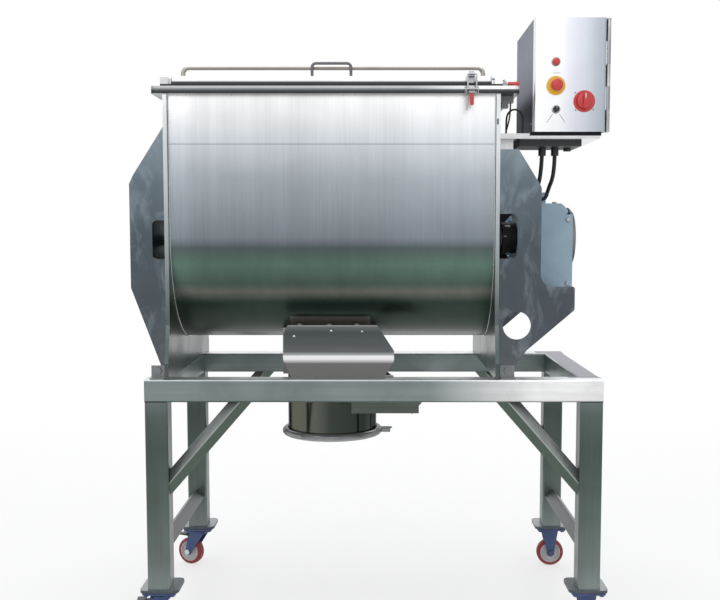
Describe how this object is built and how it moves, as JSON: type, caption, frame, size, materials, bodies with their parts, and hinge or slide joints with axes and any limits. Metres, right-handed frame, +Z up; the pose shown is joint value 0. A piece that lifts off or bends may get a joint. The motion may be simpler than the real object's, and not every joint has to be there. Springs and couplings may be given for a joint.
{
  "type": "ribbon blender",
  "caption": "Wheeled batch ribbon blender: U-trough with double helical ribbon agitator, hinged lid, geared motor, control cabinet and flap discharge spout.",
  "frame": {"origin": "middle of the machine's box in plan, on the floor under the wheels", "axes": "+X along the agitator shaft to the drive end, +Y from the front to the back, +Z up"},
  "size_m": [1.4788, 0.827, 1.909],
  "materials": {
    "black_cable": "satin",
    "black_plastic": "matte",
    "blue_grey_paint": "semi-gloss",
    "brushed_steel": "brushed",
    "cast_iron_paint": "satin",
    "caster_blue": "satin",
    "grey_plastic": "satin",
    "red_plastic": "gloss",
    "seal_rubber": "matte",
    "wheel": "matte",
    "yellow_plastic": "gloss"
  },
  "bodies": {
    "machine": {"bearing_housing": "cast_iron_paint", "box_loop_cable": "black_cable", "caster_top_plates": "caster_blue", "control_box_body": "brushed_steel", "control_gear": "grey_plastic", "control_shelf": "brushed_steel", "cross_plates": "brushed_steel", "discharge_spout": "brushed_steel", "door_hinge": "brushed_steel", "electrical_fittings": "black_plastic", "fixed_caster_forks": "caster_blue", "flap_chamber": "brushed_steel", "foot_brackets": "brushed_steel", "gear_motor": "blue_grey_paint", "gearbox_end_cap": "brushed_steel", "gearbox_housing": "blue_grey_paint", "left_gussets": "brushed_steel", "leg_foot_plates": "brushed_steel", "lid_gasket": "seal_rubber", "lid_switch_cable": "black_cable", "motor_power_cable": "black_cable", "motor_signal_cable": "black_cable", "right_gussets": "brushed_steel", "rim_fittings": "brushed_steel", "shaft_seals": "black_plastic", "spout_clamp_ring": "brushed_steel", "stand_braces": "brushed_steel", "stand_legs": "brushed_steel", "stand_rails": "brushed_steel", "trough_end_plates": "brushed_steel", "trough_rim": "brushed_steel", "trough_shell": "brushed_steel", "valve_cylinder": "brushed_steel", "valve_guard": "brushed_steel"},
    "agitator": {"main_shaft": "brushed_steel", "outer_ribbons": "brushed_steel", "inner_ribbons": "brushed_steel", "ribbon_arms": "brushed_steel", "drive_coupling": "brushed_steel"},
    "lid": {"lid_pan": "brushed_steel", "lid_handles": "brushed_steel", "lid_fittings": "brushed_steel"},
    "latch_lever_front_body": {"latch_lever_front": "red_plastic"},
    "latch_hook_front_body": {"latch_hook_front": "brushed_steel"},
    "latch_lever_end_body": {"latch_lever_end": "red_plastic"},
    "latch_hook_end_body": {"latch_hook_end": "brushed_steel"},
    "flap": {"discharge_flap": "brushed_steel"},
    "cylinder_rod_body": {"cylinder_rod": "brushed_steel"},
    "door": {"control_door": "brushed_steel", "door_fittings": "grey_plastic", "emergency_stop_plate": "yellow_plastic"},
    "stop_button_body": {"emergency_stop_button": "red_plastic"},
    "key_knob_body": {"key_switch_knob": "black_plastic"},
    "isolator_body": {"isolator_knob": "red_plastic"},
    "swivel_front_left": {"swivel_fork_front_left": "caster_blue"},
    "swivel_rear_left": {"swivel_fork_rear_left": "caster_blue"},
    "wheel_front_left_body": {"wheel_front_left": "wheel"},
    "wheel_rear_left_body": {"wheel_rear_left": "wheel"},
    "wheel_front_right_body": {"wheel_front_right": "wheel"},
    "wheel_rear_right_body": {"wheel_rear_right": "wheel"}
  },
  "joints": [
    {"name": "agitator_turn", "type": "hinge", "parent": "machine", "child": "agitator", "pos_m": [-0.11314, -0.0235, 1.24], "axis": [1, 0, 0], "continuous": true},
    {"name": "lid_open", "type": "hinge", "parent": "machine", "child": "lid", "pos_m": [-0.11314, 0.3505, 1.712], "axis": [-1, 0, 0], "range_deg": [0, 100]},
    {"name": "front_latch_lever", "type": "hinge", "parent": "machine", "child": "latch_lever_front_body", "pos_m": [0.30736, -0.3945, 1.684], "axis": [-1, 0, 0], "range_deg": [0, 110]},
    {"name": "front_latch_hook", "type": "hinge", "parent": "latch_lever_front_body", "child": "latch_hook_front_body", "pos_m": [0.30736, -0.4045, 1.684], "axis": [-1, 0, 0], "range_deg": [-110, 0]},
    {"name": "end_latch_lever", "type": "hinge", "parent": "machine", "child": "latch_lever_end_body", "pos_m": [0.41236, -0.3035, 1.713], "axis": [0, -1, 0], "range_deg": [0, 110]},
    {"name": "end_latch_hook", "type": "hinge", "parent": "latch_lever_end_body", "child": "latch_hook_end_body", "pos_m": [0.41236, -0.3035, 1.723], "axis": [0, -1, 0], "range_deg": [-110, 0]},
    {"name": "flap_swing", "type": "hinge", "parent": "machine", "child": "flap", "pos_m": [-0.01564, -0.0235, 0.889], "axis": [0, -1, 0], "range_deg": [0, 85]},
    {"name": "rod_slide", "type": "slide", "parent": "machine", "child": "cylinder_rod_body", "axis": [0.766, 0, -0.6428], "range_m": [0, 0.06251]},
    {"name": "door_open", "type": "hinge", "parent": "machine", "child": "door", "pos_m": [0.73136, -0.3105, 1.7375], "axis": [0, 0, 1], "range_deg": [0, 120]},
    {"name": "stop_button_press", "type": "slide", "parent": "door", "child": "stop_button_body", "axis": [0, 1, 0], "range_m": [0, 0.006]},
    {"name": "key_turn", "type": "hinge", "parent": "door", "child": "key_knob_body", "pos_m": [0.57036, -0.3235, 1.634], "axis": [0, 1, 0], "range_deg": [0, 90]},
    {"name": "isolator_turn", "type": "hinge", "parent": "door", "child": "isolator_body", "pos_m": [0.65636, -0.3235, 1.658], "axis": [0, 1, 0], "range_deg": [-90, 0]},
    {"name": "swivel_front_left", "type": "hinge", "parent": "machine", "child": "swivel_front_left", "pos_m": [-0.65064, -0.3685, 0.136], "axis": [0, 0, 1], "continuous": true},
    {"name": "roll_front_left", "type": "hinge", "parent": "swivel_front_left", "child": "wheel_front_left_body", "pos_m": [-0.68827, -0.37379, 0.05], "axis": [-0.1392, 0.9903, 0], "continuous": true},
    {"name": "swivel_rear_left", "type": "hinge", "parent": "machine", "child": "swivel_rear_left", "pos_m": [-0.65064, 0.3215, 0.136], "axis": [0, 0, 1], "continuous": true},
    {"name": "roll_rear_left", "type": "hinge", "parent": "swivel_rear_left", "child": "wheel_rear_left_body", "pos_m": [-0.68535, 0.33696, 0.05], "axis": [0.4067, 0.9135, 0], "continuous": true},
    {"name": "roll_front_right", "type": "hinge", "parent": "machine", "child": "wheel_front_right_body", "pos_m": [0.67936, -0.3685, 0.05], "axis": [0, 1, 0], "continuous": true},
    {"name": "roll_rear_right", "type": "hinge", "parent": "machine", "child": "wheel_rear_right_body", "pos_m": [0.67936, 0.3215, 0.05], "axis": [0, 1, 0], "continuous": true}
  ],
  "couplings": [
    {"joint": "front_latch_hook", "follows": "front_latch_lever", "ratio": -1},
    {"joint": "end_latch_hook", "follows": "end_latch_lever", "ratio": -1},
    {"joint": "rod_slide", "follows": "flap_swing", "m_per_rad": 0.042002}
  ]
}
